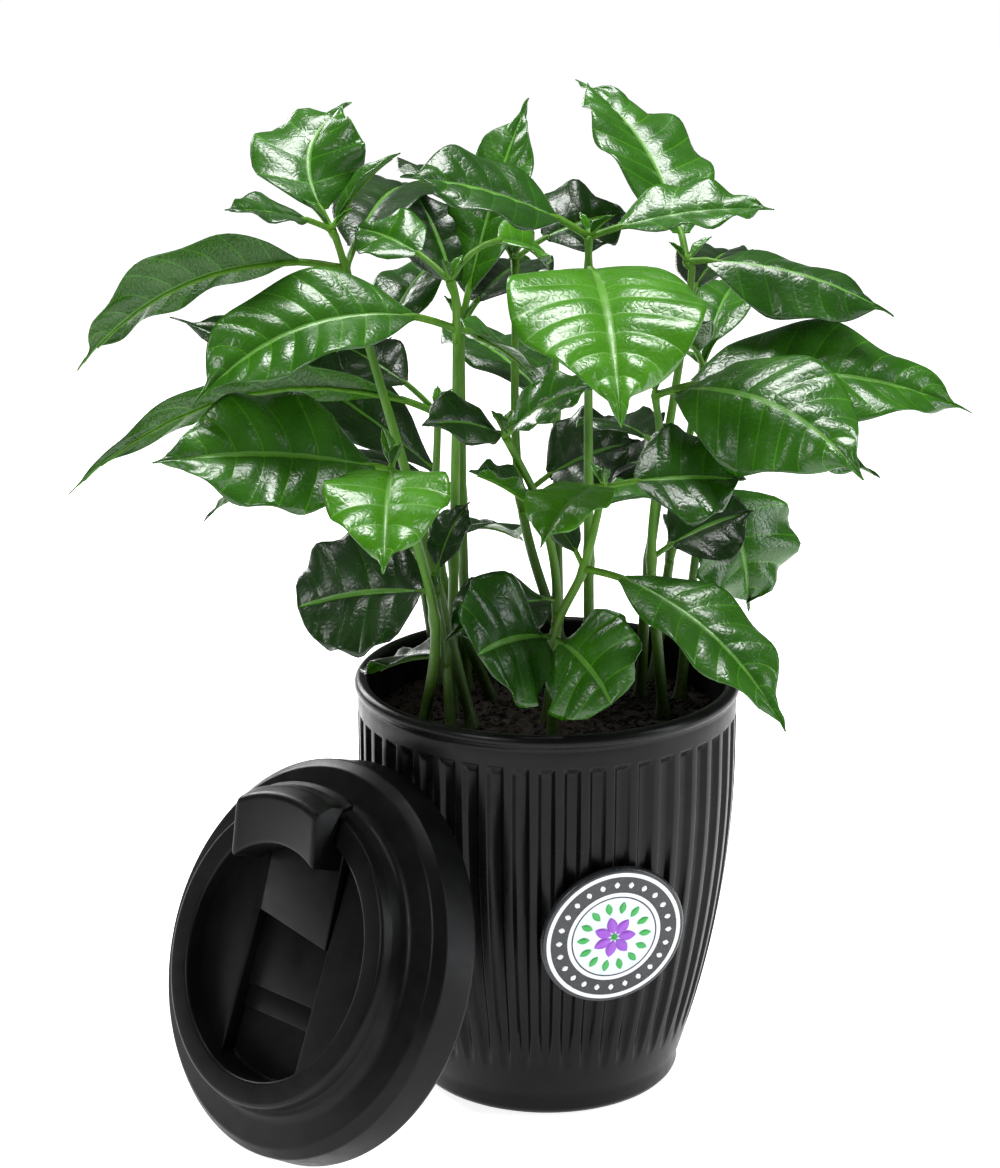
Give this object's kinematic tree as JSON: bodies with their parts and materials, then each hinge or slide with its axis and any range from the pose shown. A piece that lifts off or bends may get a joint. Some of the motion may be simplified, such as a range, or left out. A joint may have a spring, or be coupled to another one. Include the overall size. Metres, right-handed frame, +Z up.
{
  "type": "potted coffee plant",
  "caption": "Bushy young coffee plant grown as a clump of leaning seedlings in a fluted cup-shaped pot, with the cup's sip lid leaning on it.",
  "frame": {"origin": "centre of the pot's flat underside", "axes": "+Z up; -Y is the front, on which the badge sits a little to the +X side and the lid leans at the -X side"},
  "size_m": [0.2791, 0.2447, 0.3197],
  "materials": {
    "pot": "black satin with a glossy rim",
    "soil": "dark crumbly peat",
    "badge": "printed disc",
    "lid": "black satin",
    "flap": "black satin",
    "stem": "smooth green stem",
    "leaf": "glossy deep green leaf"
  },
  "bodies": {
    "root": {"pot": "pot", "soil": "soil", "badge": "badge", "lid_shell": "lid", "lid_flap": "flap", "stem_far_left": "stem", "stem_left": "stem", "stem_middle": "stem", "stem_right_back": "stem", "stem_right": "stem", "stem_front_left": "stem", "stem_inner_left": "stem", "stem_low_left": "stem", "stem_front": "stem", "stem_centre": "stem", "stem_back_left": "stem", "stem_back_middle": "stem", "stem_low_right": "stem", "stem_rear_left": "stem", "stem_rear_middle": "stem", "stem_rear_right": "stem", "foliage_far_left": "leaf", "foliage_left": "leaf", "foliage_middle": "leaf", "foliage_right_back": "leaf", "foliage_right": "leaf", "foliage_front_left": "leaf", "foliage_inner_left": "leaf", "foliage_low_left": "leaf", "foliage_front": "leaf", "foliage_centre": "leaf", "foliage_back_left": "leaf", "foliage_back_middle": "leaf", "foliage_low_right": "leaf", "foliage_rear_left": "leaf", "foliage_rear_middle": "leaf", "foliage_rear_right": "leaf"}
  },
  "joints": []
}
